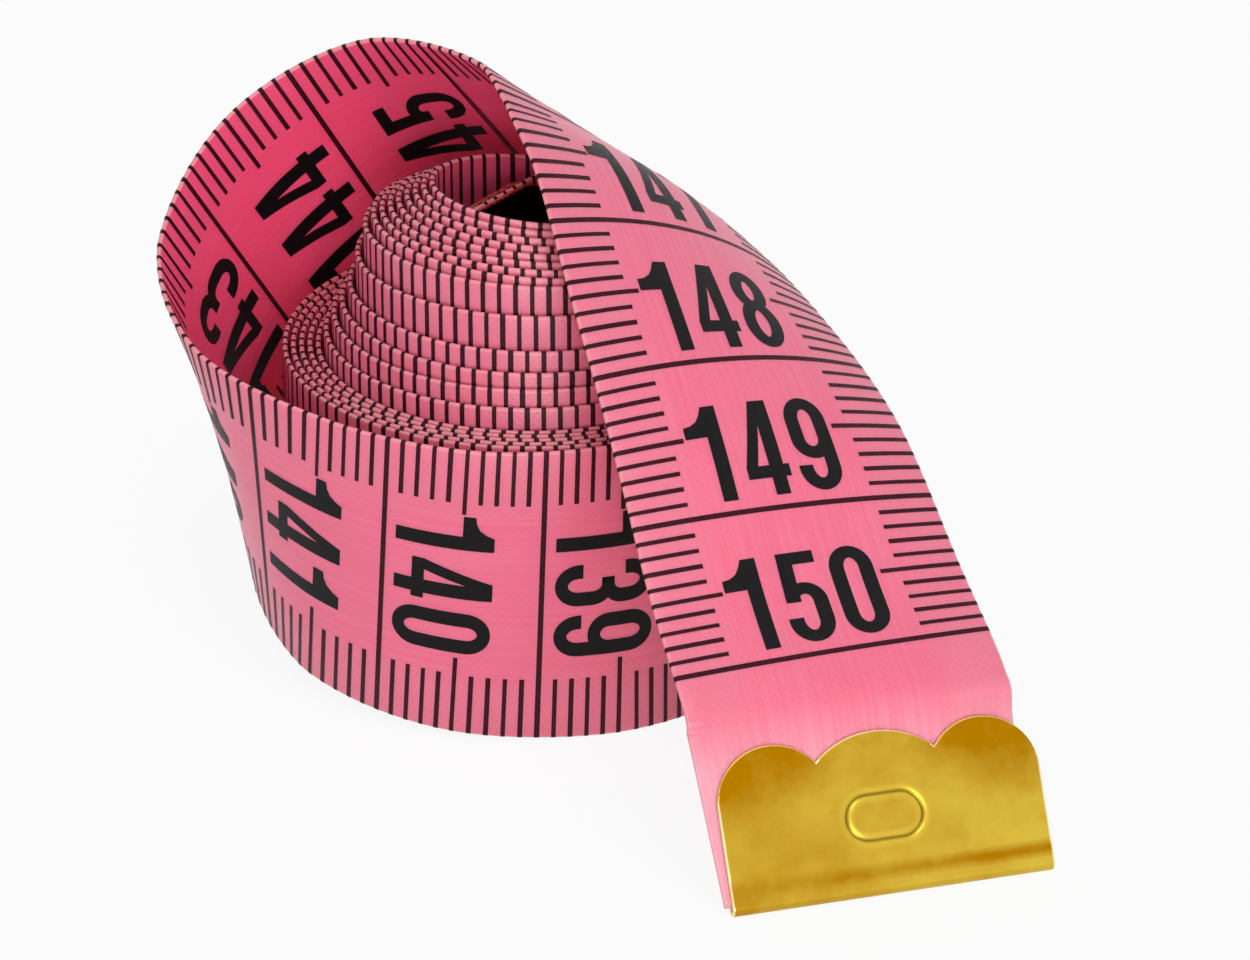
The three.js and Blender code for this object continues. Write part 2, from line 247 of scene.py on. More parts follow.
class TapeCourse:
    """The way the tape runs, from its inner tip to its outer tip.

    The steps are counts of stations: in a turn, from one route point to the next and round the
    inner bend.
    """

    turn_steps = 240
    route_steps = 100
    bend_steps = 24
    lead_in_turns = 2 / 24
    tangent_reach = 0.0016

    def __init__(self, tape: TapeSize, coil: CoilSize, clip: ClipSize, end: OuterEnd) -> None:
        """Works out the stations of the whole tape and sets them in the frame.

        Args:
            tape: the strip's sizes.
            coil: the coil's sizes.
            clip: the clips' sizes.
            end: how the outer clip stands.
        """
        self.tape, self.coil, self.clip, self.end = tape, coil, clip, end
        self.crown = Crown()
        self.middles, self.leans = self._route()
        crest = self._free_station(CREST_ROUTE_POINT)
        # The crest of the fold lies on the hinge that lifts the free end.
        hinge = np.array(frame["joints"][0]["pos_m"], float)
        self.shift = hinge - (crest[MIDDLE] + crest[OUTWARD] * crest[BOW])
        rows = [*self._inner_end(), *self._wound(), *self._free()]
        self.stations = np.array(rows)
        self.stations[:, MIDDLE] += self.shift
        steps = np.linalg.norm(np.diff(self.stations[:, MIDDLE], axis=0), axis=1)
        self.length = np.concatenate([[0.0], np.cumsum(steps)])
        self.total = float(self.length[-1])
        self.first_mark = tape.last_mark + tape.blank_end - self.total

    def _rise(self, turn: float, angle: float) -> float:
        """Height of a turn's lower edge above the floor.

        Args:
            turn: which turn, counted from the core.
            angle: the angle round the coil.

        Returns:
            The height.
        """
        coil = self.coil
        rise = float(np.interp(turn, coil.profile_turns, coil.profile_rises))
        tilt = coil.core_tilt * math.cos(angle - coil.core_tilt_angle)
        return rise + tilt * min(1.0, rise / coil.profile_rises[1])

    def _coil_station(self, turn: float) -> Array:
        """One station of the coil.

        Args:
            turn: how many turns from the core.

        Returns:
            The station's columns.
        """
        coil = self.coil
        angle = coil.end_angle + (coil.turns - turn) * 2 * math.pi
        outward = level_way(angle)
        middle = np.array(coil.centre) + outward * (coil.core_radius + coil.pitch * turn)
        middle[2] = self._rise(turn, angle) + self.tape.width / 2
        return np.concatenate([middle, UP, outward, [0.0]])

    def _inner_end(self) -> list[Array]:
        """The straight end across the core and the bend off the core's wall.

        Returns:
            Their stations, from the tip.
        """
        coil = self.coil
        start = self._coil_station(0.0)
        wall = start[OUTWARD]
        start_angle = math.atan2(wall[1], wall[0])
        centre = start[MIDDLE] - wall * coil.inner_bend_radius
        bend = []
        for share in np.linspace(1, 0, self.bend_steps, endpoint=False):
            angle = start_angle + coil.inner_bend_angle * share
            outward = level_way(angle)
            middle = centre + outward * coil.inner_bend_radius
            bend.append(np.concatenate([middle, UP, outward, [0.0]]))
        inwards = np.cross(UP, bend[0][OUTWARD])
        tip = bend[0].copy()
        tip[MIDDLE] += inwards * self.clip.depth
        return [tip, *bend]

    def _wound(self) -> list[Array]:
        """The coil's stations from the core outwards, short of the last one."""
        count = round(self.coil.turns * self.turn_steps)
        return [self._coil_station(k / self.turn_steps) for k in range(count)]

    def outer_axes(self) -> tuple[Array, Array]:
        """Axes of the outer clip.

        Returns:
            The way to edge A and the way up the clip from its fold.
        """
        across = -level_way(self.end.heading)
        level = np.cross(UP, across)
        return across, UP * math.cos(self.end.lean) - level * math.sin(self.end.lean)

    def _route(self) -> tuple[RouteCurve, RouteCurve]:
        """The free stretch's curves.

        Returns:
            The curve of its middle and that of the way to edge A.
        """
        across, along = self.outer_axes()
        fold_centre = np.array(self.end.fold) + UP * self.clip.fold_radius
        before = self._coil_station(self.coil.turns - self.lead_in_turns)
        end = self._coil_station(self.coil.turns)
        rows = [(before[MIDDLE], UP), (end[MIDDLE], UP)]
        for middle, lean in (*LOOP_ROUTE, CREST, *TAIL_ROUTE):
            rows.append((np.array(middle), unit(np.array(lean))))
        clip = self.clip
        for distance in (clip.depth + clip.lead, clip.depth, clip.tape_end_from_fold):
            rows.append((fold_centre + along * (distance - clip.fold_radius), across))
        return RouteCurve(row[0] for row in rows), RouteCurve(row[1] for row in rows)

    def _free_station(self, place: float) -> Array:
        """One station of the free stretch.

        Args:
            place: how far along, counted in route points.

        Returns:
            The station's columns.
        """
        reach = self.tangent_reach
        low, high = max(0.0, place - reach), min(self.middles.last, place + reach)
        travel = unit(self.middles.at(high) - self.middles.at(low))
        lean = self.leans.at(place)
        across = unit(lean - travel * lean.dot(travel))
        outward = np.cross(across, travel)
        off = (place - self.crown.route_point) / self.crown.spread
        bow = self.crown.height * math.exp(-off * off)
        return np.concatenate([self.middles.at(place), across, outward, [bow]])

    def _free(self) -> list[Array]:
        """The free stretch's stations from the coil's end to the outer tip."""
        count = (self.middles.last - 1) * self.route_steps
        return [self._free_station(1 + k / self.route_steps) for k in range(count + 1)]

    def lay(self, reading: Array, offset: Array, height: Array) -> Array:
        """Lays points on the tape.

        Args:
            reading: what the printed scale reads there, in metres.
            offset: distance from the middle towards edge A.
            height: distance from the cloth's mid surface, outwards.

        Returns:
            The points, one a row.
        """
        at = np.asarray(reading) - self.first_mark
        columns = [np.interp(at, self.length, column) for column in self.stations.T]
        place = np.stack(columns, axis=-1)
        across, outward, bow = unit(place[..., ACROSS]), unit(place[..., OUTWARD]), place[..., BOW]
        half = self.tape.width / 2
        # The clip draws the tape's end in, most at its tip.
        gripped = np.clip((at - self.total) / self.clip.depth + 1, 0, 1)
        reach = np.asarray(offset) * (1 - self.clip.drawn_in * gripped)
        share = reach / half
        normal = unit(outward + across * (2 * bow * share / half)[..., None])
        surface = across * reach[..., None] + outward * (bow * (1 - share**2))[..., None]
        return place[..., MIDDLE] + surface + normal * np.asarray(height)[..., None]

    def crest_span(self, reach: float) -> tuple[Vector, Vector]:
        """Points on the tape's middle before and after the crest.

        Args:
            reach: how far each lies from the crest, in metres.

        Returns:
            The two points, on the straight line along the tape at the crest.
        """
        crest = self._free_station(CREST_ROUTE_POINT)
        travel = np.cross(crest[OUTWARD], crest[ACROSS])
        middle = crest[MIDDLE] + self.shift
        return Vector(middle - travel * reach), Vector(middle + travel * reach)

    def inner_clip_place(self) -> ClipPlace:
        """Works out where the inner end's clip sits.

        Returns:
            Its place.
        """
        tip, mouth = self.stations[0:2, MIDDLE]
        along = unit(mouth - tip)
        return ClipPlace(tip - along * self.clip.tape_end_from_fold, -UP, along)

    def outer_clip_place(self) -> ClipPlace:
        """Works out where the outer end's clip sits.

        Returns:
            Its place.
        """
        across, along = self.outer_axes()
        radius = self.clip.fold_radius
        fold = np.array(self.end.fold) + self.shift + UP * radius - along * radius
        return ClipPlace(fold - across * self.end.shift, -across, along)


@dataclass
class SheetGrid:
    """A grid of faces in a bmesh, with each vertex's column and row."""

    bm: bmesh.types.BMesh
    columns: int
    rows: int

    def __post_init__(self) -> None:
        """Makes the grid, flat, and reads where each vertex stands in it."""
        across, up = self.columns - 1, self.rows - 1
        made = bmesh.ops.create_grid(self.bm, x_segments=across, y_segments=up, size=0.5)
        self.verts = made["verts"]
        flat = np.array([vert.co for vert in self.verts])
        self.column = np.rint((flat[:, 0] + 0.5) * across).astype(int)
        self.row = np.rint((flat[:, 1] + 0.5) * up).astype(int)

    def cells(self) -> list[tuple[bmesh.types.BMFace, int, int]]:
        """Finds where each face stands.

        Returns:
            Each face with its column and row.
        """
        for number, vert in enumerate(self.verts):
            vert.index = number
        found = []
        for face in {face for vert in self.verts for face in vert.link_faces}:
            at = [vert.index for vert in face.verts]
            found.append((face, int(min(self.column[at])), int(min(self.row[at]))))
        return found

    def place(self, points: Array, layer: bmesh.types.BMLayerItem, flat: Array) -> None:
        """Moves every vertex and keeps its flat place.

        Args:
            points: the vertices' places, in the order of verts.
            layer: the UV layer.
            flat: their places on the flat sheet, in metres.
        """
        for vert, point, at in zip(self.verts, points, flat):
            vert.co = point
            for loop in vert.link_loops:
                loop[layer].uv = at


def finished_object(name: str, bm: bmesh.types.BMesh) -> bpy.types.Object:
    """Turns a bmesh into a smooth-shaded object at the origin.

    Args:
        name: the piece's name.
        bm: its mesh, which is freed.

    Returns:
        The object, in the scene.
    """
    for face in bm.faces:
        face.smooth = True
    mesh = bpy.data.meshes.new(name)
    bm.to_mesh(mesh)
    bm.free()
    piece = bpy.data.objects.new(name, mesh)
    bpy.context.scene.collection.objects.link(piece)
    LOG.info("%s: %d faces", name, len(mesh.polygons))
    return piece


def dress(piece: bpy.types.Object, *materials: bpy.types.Material) -> None:
    """Gives a piece its materials, in slot order."""
    for material in materials:
        piece.data.materials.append(material)


class NodeTree:
    """A short way to add and join the nodes of one tree."""

    # A Mix node's colour sockets share their names with its other sockets.
    mix_colours = (6, 7)
    mixed_colour = 2
    bump_height = 0.05 * MM

    def __init__(self, tree: bpy.types.NodeTree) -> None:
        """Keeps the tree.

        Args:
            tree: a material's, a world's or a group's node tree.
        """
        self.tree = tree

    def add(self, kind: str, **settings: object) -> bpy.types.Node:
        """Adds a node.

        Args:
            kind: the node's type name.
            settings: its attributes.

        Returns:
            The node.
        """
        node = self.tree.nodes.new(kind)
        for name, value in settings.items():
            setattr(node, name, value)
        return node

    def feed(self, socket: bpy.types.NodeSocket, source: object) -> None:
        """Links or sets a socket.

        Args:
            socket: an input.
            source: an output to link, or a plain value to set.
        """
        if isinstance(source, bpy.types.NodeSocket):
            self.tree.links.new(source, socket)
        else:
            socket.default_value = source

    def math(self, operation: str, first: object, second: object = 0.0) -> bpy.types.NodeSocket:
        """Adds a Math node.

        Args:
            operation: what it works out.
            first: a socket or a number.
            second: a socket or a number.

        Returns:
            The result's socket.
        """
        node = self.add("ShaderNodeMath", operation=operation)
        self.feed(node.inputs[0], first)
        self.feed(node.inputs[1], second)
        return node.outputs[0]

    def mix(self, share: object, first: object, second: object) -> bpy.types.NodeSocket:
        """Adds a colour mix.

        Args:
            share: how much of the second colour.
            first: a socket or a colour.
            second: a socket or a colour.

        Returns:
            The mixed colour's socket.
        """
        node = self.add("ShaderNodeMix", data_type="RGBA")
        self.feed(node.inputs[0], share)
        for socket, source in zip(self.mix_colours, (first, second)):
            plain = not isinstance(source, bpy.types.NodeSocket)
            self.feed(node.inputs[socket], (*source, 1.0) if plain else source)
        return node.outputs[self.mixed_colour]

    def _mapped(self, value: object, ends: str, low: float, high: float) -> bpy.types.NodeSocket:
        """Adds a Map Range node.

        Args:
            value: a socket.
            ends: which of its two spans is set, From or To; the other one is 0 to 1.
            low: where that span starts.
            high: where it ends.

        Returns:
            The mapped value's socket.
        """
        node = self.add("ShaderNodeMapRange")
        self.feed(node.inputs["Value"], value)
        node.inputs[f"{ends} Min"].default_value = low
        node.inputs[f"{ends} Max"].default_value = high
        return node.outputs["Result"]

    def span(self, value: object, low: float, high: float) -> bpy.types.NodeSocket:
        """Maps 0 to 1 onto low to high."""
        return self._mapped(value, "To", low, high)

    def window(self, value: object, low: float, high: float) -> bpy.types.NodeSocket:
        """Maps low to high onto 0 to 1."""
        return self._mapped(value, "From", low, high)

    def darken(self, colour: bpy.types.NodeSocket, shade: bpy.types.NodeSocket) -> bpy.types.NodeSocket:
        """Multiplies a colour by a shade.

        Args:
            colour: the colour's socket.
            shade: a socket from 0 to 1.

        Returns:
            The darker colour's socket.
        """
        node = self.add("ShaderNodeMix", data_type="RGBA", blend_type="MULTIPLY")
        self.feed(node.inputs[0], 1.0)
        for socket, source in zip(self.mix_colours, (colour, shade)):
            self.feed(node.inputs[socket], source)
        return node.outputs[self.mixed_colour]

    def bump(self, height: bpy.types.NodeSocket, strength: float) -> bpy.types.NodeSocket:
        """Adds a fine bump.

        Args:
            height: a socket from 0 to 1.
            strength: how much of it shows.

        Returns:
            The normal's socket.
        """
        node = self.add("ShaderNodeBump")
        node.inputs["Strength"].default_value = strength
        node.inputs["Distance"].default_value = self.bump_height
        self.feed(node.inputs["Height"], height)
        return node.outputs["Normal"]

    def group(self, shared: bpy.types.NodeTree, **inputs: object) -> bpy.types.Node:
        """Places a shared group.

        Args:
            shared: the group's tree.
            inputs: its inputs' values, by name.

        Returns:
            The group node.
        """
        node = self.add("ShaderNodeGroup", node_tree=shared)
        for name, value in inputs.items():
            self.feed(node.inputs[name], value)
        return node


def linear(red: int, green: int, blue: int) -> Colour:
    """Turns a screen colour of 0 to 255 into scene-linear values."""
    shares = (level / 255 for level in (red, green, blue))
    return tuple(s / 12.92 if s <= 0.04045 else ((s + 0.055) / 1.055) ** 2.4 for s in shares)


def shared_group(
    name: str, inputs: Iterable[tuple[str, str]], outputs: Iterable[str],
) -> tuple[NodeTree, bpy.types.Node, bpy.types.Node]:
    """Starts a shader node group.

    Args:
        name: the group's name.
        inputs: each input's name and socket type.
        outputs: the names of its value outputs.

    Returns:
        The tree, its input node and its output node.
    """
    tree = bpy.data.node_groups.new(name, "ShaderNodeTree")
    for label, kind in inputs:
        tree.interface.new_socket(label, in_out="INPUT", socket_type=kind)
    for label in outputs:
        tree.interface.new_socket(label, in_out="OUTPUT", socket_type="NodeSocketFloat")
    nodes = NodeTree(tree)
    return nodes, nodes.add("NodeGroupInput"), nodes.add("NodeGroupOutput")


def weave_group() -> bpy.types.NodeTree:
    """A plain weave of threads over and under each other, and streaks along its length.

    Returns:
        A group that takes the place on the cloth and the thread's width, both in metres, and puts
        out the height of the threads and how pale a streak is, each from 0 to 1.
    """
    nodes, given, put = shared_group(
        "cloth_weave",
        (("Place", "NodeSocketVector"), ("Thread", "NodeSocketFloat")),
        ("Height", "Streak"),
    )
    split = nodes.add("ShaderNodeSeparateXYZ")
    nodes.feed(split.inputs[0], given.outputs["Place"])
    waves = []
    for axis in (0, 1):
        turns = nodes.math("DIVIDE", split.outputs[axis], given.outputs["Thread"])
        waves.append(nodes.math("SINE", nodes.math("MULTIPLY", turns, math.pi)))
    checker = nodes.math("MULTIPLY", waves[0], waves[1])
    nodes.feed(put.inputs["Height"], nodes.span(nodes.math("ADD", checker, 1.0), 0.0, 0.5))
    stretched = nodes.add("ShaderNodeMapping")
    stretched.inputs["Scale"].default_value = STREAK_SCALE
    nodes.feed(stretched.inputs["Vector"], given.outputs["Place"])
    noise = nodes.add("ShaderNodeTexNoise")
    noise.inputs["Scale"].default_value = 1.0
    noise.inputs["Detail"].default_value = 2.0
    nodes.feed(noise.inputs["Vector"], stretched.outputs["Vector"])
    nodes.feed(put.inputs["Streak"], nodes.window(noise.outputs["Fac"], *STREAK_SPAN))
    return nodes.tree


def patches_group() -> bpy.types.NodeTree:
    """Soft uneven patches.

    Returns:
        A group that takes a place and a scale, and puts out a value from 0 to 1.
    """
    nodes, given, put = shared_group(
        "soft_patches",
        (("Place", "NodeSocketVector"), ("Scale", "NodeSocketFloat")),
        ("Value",),
    )
    noise = nodes.add("ShaderNodeTexNoise")
    noise.inputs["Detail"].default_value = 4.0
    nodes.feed(noise.inputs["Vector"], given.outputs["Place"])
    nodes.feed(noise.inputs["Scale"], given.outputs["Scale"])
    nodes.feed(put.inputs["Value"], nodes.window(noise.outputs["Fac"], *PATCH_SPAN))
    return nodes.tree


@dataclass(frozen=True)
class SharedEffects:
    """The node groups that several finishes use."""

    weave: bpy.types.NodeTree
    patches: bpy.types.NodeTree

    def on_cloth(self, nodes: NodeTree, thread: float, scale: float) -> list[bpy.types.NodeSocket]:
        """Places both groups on the cloth.

        Args:
            nodes: the material's tree.
            thread: a thread's width, in metres.
            scale: how fine the patches are.

        Returns:
            The place on the cloth, the threads' height, the streaks and the patches.
        """
        place = nodes.add("ShaderNodeUVMap", uv_map="cloth").outputs["UV"]
        weave = nodes.group(self.weave, Place=place, Thread=thread)
        patches = nodes.group(self.patches, Place=place, Scale=scale)
        return [place, weave.outputs["Height"], weave.outputs["Streak"], patches.outputs["Value"]]


def blank_material(name: str) -> tuple[bpy.types.Material, NodeTree, bpy.types.Node]:
    """Starts a material.

    Args:
        name: the finish's name.

    Returns:
        The material, its tree and its Principled shader.
    """
    material = bpy.data.materials.new(name)
    material.use_nodes = True
    return material, NodeTree(material.node_tree), material.node_tree.nodes["Principled BSDF"]


@dataclass(frozen=True)
class ClothFinish:
    """Coated cloth: woven and streaked, with painted sheen in its margins and by the outer clip, lit
    through.
    """

    name: str
    colour: Colour
    pale: Colour
    margin_sheen: Colour
    thread: float = 0.25 * MM
    bump: float = 0.3
    weave_shade: float = 0.92
    roughness: tuple[float, float] = (0.3, 0.42)
    gloss: float = 0.7
    patch_scale: float = 140.0
    fade_span: tuple[float, float] = (0.15, 0.8)
    margin_sheen_span: tuple[float, float] = (5.0 * MM, 7.2 * MM)
    margin_sheen_share: float = 0.6
    clip_sheen_span: tuple[float, float] = (1.503, 1.5064)
    clip_sheen: Colour = linear(250, 196, 208)
    clip_sheen_strength: tuple[float, float] = (0.35, 0.6)
    glow: float = 0.6
    glow_radius: Colour = (1.0, 0.3, 0.4)
    glow_scale: float = 0.5 * MM

    def material(self, effects: SharedEffects) -> bpy.types.Material:
        """Builds the material.

        Args:
            effects: the shared node groups.

        Returns:
            The material.
        """
        material, nodes, shader = blank_material(self.name)
        place, height, streak, patches = effects.on_cloth(nodes, self.thread, self.patch_scale)
        fade = nodes.math("MULTIPLY", streak, nodes.span(patches, *self.fade_span))
        split = nodes.add("ShaderNodeSeparateXYZ")
        nodes.feed(split.inputs[0], place)
        # Painted sheen: both margins of each face are paler.
        side = nodes.window(nodes.math("ABSOLUTE", split.outputs[1]), *self.margin_sheen_span)
        thin = nodes.math("MULTIPLY", side, nodes.span(patches, self.margin_sheen_share, 1.0))
        dyed = nodes.mix(thin, nodes.mix(fade, self.colour, self.pale), self.margin_sheen)
        # Painted sheen: a paler, streaky band on the stretch just above the outer clip.
        gripped = nodes.window(split.outputs[0], *self.clip_sheen_span)
        gripped = nodes.math("MULTIPLY", gripped, nodes.span(streak, *self.clip_sheen_strength))
        dyed = nodes.mix(gripped, dyed, self.clip_sheen)
        shade = nodes.span(height, self.weave_shade, 1.0)
        nodes.feed(shader.inputs["Base Color"], nodes.darken(dyed, shade))
        nodes.feed(shader.inputs["Roughness"], nodes.span(patches, *self.roughness))
        shader.inputs["Specular IOR Level"].default_value = self.gloss
        shader.inputs["Subsurface Weight"].default_value = self.glow
        shader.inputs["Subsurface Radius"].default_value = self.glow_radius
        shader.inputs["Subsurface Scale"].default_value = self.glow_scale
        nodes.feed(shader.inputs["Normal"], nodes.bump(height, self.bump))
        return material


@dataclass(frozen=True)
class InkFinish:
    """Printing ink that the weave shows through a little."""

    name: str
    colour: Colour
    thin: Colour
    thread: float = 0.25 * MM
    bump: float = 0.3
    roughness: tuple[float, float] = (0.36, 0.5)
    gloss: float = 0.15
    patch_scale: float = 2200.0

    def material(self, effects: SharedEffects) -> bpy.types.Material:
        """Builds the material.

        Args:
            effects: the shared node groups.

        Returns:
            The material.
        """
        material, nodes, shader = blank_material(self.name)
        _, height, _, patches = effects.on_cloth(nodes, self.thread, self.patch_scale)
        worn = nodes.math("MULTIPLY", height, patches)
        nodes.feed(shader.inputs["Base Color"], nodes.mix(worn, self.colour, self.thin))
        nodes.feed(shader.inputs["Roughness"], nodes.span(patches, *self.roughness))
        shader.inputs["Specular IOR Level"].default_value = self.gloss
        nodes.feed(shader.inputs["Normal"], nodes.bump(height, self.bump))
        return material


@dataclass(frozen=True)
class BrassFinish:
    """Sheet brass, tarnished in patches, with painted shade and a painted highlight round the stamp.

    Sizes are on the plate and in metres. A stain is a share of the dark colour, tarnish and painted
    shade.
    """

    name: str
    bright: Colour
    tarnish_and_shade: Colour
    groove_shade: Colour = linear(92, 62, 8)
    roughness: tuple[float, float] = (0.28, 0.42)
    bump: float = 0.15
    broad_scale: float = 260.0
    broad_stain: tuple[float, float] = (-0.2, 0.4)
    fine_scale: float = 1500.0
    fine_stain: tuple[float, float] = (-0.12, 0.12)
    lobe_reach: tuple[float, float] = (2 * MM, 6 * MM)
    lobe_rise: tuple[float, float] = (0.45 * ClipSize.depth, 0.85 * ClipSize.depth)
    lobe_shade: tuple[float, float] = (0.35, 0.95)
    side_reach: float = 8 * MM
    left_shade: float = 0.4
    band_height: float = 1.35 * MM
    band_reach: tuple[float, float] = (0.6 * MM, 0.1 * MM)
    band_shade: tuple[float, float] = (0.1, 0.9)
    ring_span: tuple[float, float] = (0.2, 0.6)
    ring_highlight: float = -0.3
    groove_span: tuple[float, float] = (0.82, 0.98)
    groove_shade_share: float = 0.7

    def _painted_shade(self, nodes: NodeTree, place: bpy.types.NodeSocket) -> bpy.types.NodeSocket:
        """How the painted shade lies on the plate.

        Args:
            nodes: the material's tree.
            place: the place on the plate, from the middle of its fold.

        Returns:
            The share of dark colour, about 0 to 1, all painted shade: most on the side lobes, some on
            the left, and a dark line above the fold on the right.
        """
        split = nodes.add("ShaderNodeSeparateXYZ")
        nodes.feed(split.inputs[0], place)
        across, up = split.outputs[0], split.outputs[1]
        # Painted shade on the upper side lobes and towards the left of the plate.
        sides = nodes.window(nodes.math("ABSOLUTE", across), *self.lobe_reach)
        lobes = nodes.span(sides, *self.lobe_shade)
        top = nodes.math("MULTIPLY", nodes.window(up, *self.lobe_rise), lobes)
        right = nodes.window(across, -self.side_reach, self.side_reach)
        # Painted shade: a dark line above the fold, strongest on the right.
        off_band = nodes.math("ABSOLUTE", nodes.math("SUBTRACT", up, self.band_height))
        on_band = nodes.window(off_band, *self.band_reach)
        band = nodes.math("MULTIPLY", on_band, nodes.span(right, *self.band_shade))
        broad = nodes.math("MAXIMUM", top, nodes.span(right, self.left_shade, 0.0))
        return nodes.math("ADD", broad, band)

    def material(self, effects: SharedEffects) -> bpy.types.Material:
        """Builds the material.

        Args:
            effects: the shared node groups.

        Returns:
            The material.
        """
        material, nodes, shader = blank_material(self.name)
        place = nodes.add("ShaderNodeUVMap", uv_map="plate").outputs["UV"]
        broad = nodes.group(effects.patches, Place=place, Scale=self.broad_scale).outputs["Value"]
        fine = nodes.group(effects.patches, Place=place, Scale=self.fine_scale).outputs["Value"]
        stamp = nodes.add("ShaderNodeAttribute", attribute_name="near_stamp").outputs["Fac"]
        patchy = nodes.span(broad, *self.broad_stain)
        uneven = nodes.math("ADD", patchy, nodes.span(fine, *self.fine_stain))
        # Painted highlight: a paler ring round the stamp's oval.
        ring_highlight_share = nodes.span(nodes.window(stamp, *self.ring_span), 0.0, self.ring_highlight)
        share = nodes.math("ADD", self._painted_shade(nodes, place), nodes.math("ADD", uneven, ring_highlight_share))
        plate = nodes.mix(nodes.window(share, 0.0, 1.0), self.bright, self.tarnish_and_shade)
        # Painted shade: a dark line along the middle of the stamp's groove.
        groove = nodes.span(nodes.window(stamp, *self.groove_span), 0.0, self.groove_shade_share)
        nodes.feed(shader.inputs["Base Color"], nodes.mix(groove, plate, self.groove_shade))
        nodes.feed(shader.inputs["Roughness"], nodes.span(fine, *self.roughness))
        shader.inputs["Metallic"].default_value = 1.0
        nodes.feed(shader.inputs["Normal"], nodes.bump(broad, self.bump))
        return material


@dataclass(frozen=True)
class Stretch:
    """A stretch of the tape between two readings of its scale, in metres."""

    name: str
    start: float
    end: float
    step: float
    across_steps: int


@dataclass
class TapeCloth:
    """The cloth of one stretch of tape: a closed sheet with rounded edges."""

    course: TapeCourse
    stretch: Stretch
    edge_steps: int = 4

    def _section(self) -> list[tuple[float, float, Surface]]:
        """The points round the cloth's section, from edge A across the outer face.

        Returns:
            Each point's offset, its height and the surface that starts there.
        """
        tape = self.course.tape
        radius = tape.thickness / 2
        flat = tape.width / 2 - radius
        count = self.stretch.across_steps
        places = [flat * (1 - 2 * k / count) for k in range(count)]
        angles = [math.pi * k / self.edge_steps for k in range(self.edge_steps)]
        outer = [(place, radius, Surface.OUTER_FACE) for place in places]
        edge_b = [
            (-flat - radius * math.sin(angle), radius * math.cos(angle), Surface.CUT_EDGE)
            for angle in angles
        ]
        inner = [(-place, -radius, Surface.INNER_FACE) for place in places]
        edge_a = [(-offset, -height, kind) for offset, height, kind in edge_b]
        return [*outer, *edge_b, *inner, *edge_a]

    def build(self) -> bpy.types.Object:
        """Builds the sheet.

        Returns:
            The piece.
        """
        section = self._section()
        ring = np.array([(offset, height) for offset, height, _ in [*section, section[0]]])
        steps = math.ceil((self.stretch.end - self.stretch.start) / self.stretch.step)
        readings = np.linspace(self.stretch.start, self.stretch.end, steps + 1)
        bm = bmesh.new()
        layer = bm.loops.layers.uv.new("cloth")
        grid = SheetGrid(bm, len(readings), len(ring))
        reading, (offset, height) = readings[grid.column], ring[grid.row].T
        points = self.course.lay(reading, offset, height)
        grid.place(points, layer, np.stack([reading, offset], axis=-1))
        for face, _, row in grid.cells():
            face.material_index = section[row][2].value
        bmesh.ops.remove_doubles(bm, verts=bm.verts, dist=MERGE_DISTANCE)
        open_edges = [edge for edge in bm.edges if edge.is_boundary]
        for face in bmesh.ops.holes_fill(bm, edges=open_edges, sides=0)["faces"]:
            face.material_index = Surface.CUT_EDGE.value
        bmesh.ops.recalc_face_normals(bm, faces=bm.faces)
        return finished_object(self.stretch.name, bm)


def arc(x: float, y: float, width: float, height: float, start: float, end: float) -> Path:
    """Points of an elliptical arc.

    Args:
        x: the centre's place to the right.
        y: the centre's place upwards.
        width: half the ellipse's width.
        height: half the ellipse's height.
        start: where it starts, in degrees.
        end: where it ends, in degrees.

    Returns:
        The points.
    """
    count = max(2, round(abs(end - start) / ARC_STEP_DEGREES))
    angles = np.radians(np.linspace(start, end, count + 1))
    return [(x + width * math.cos(a), y + height * math.sin(a)) for a in angles]


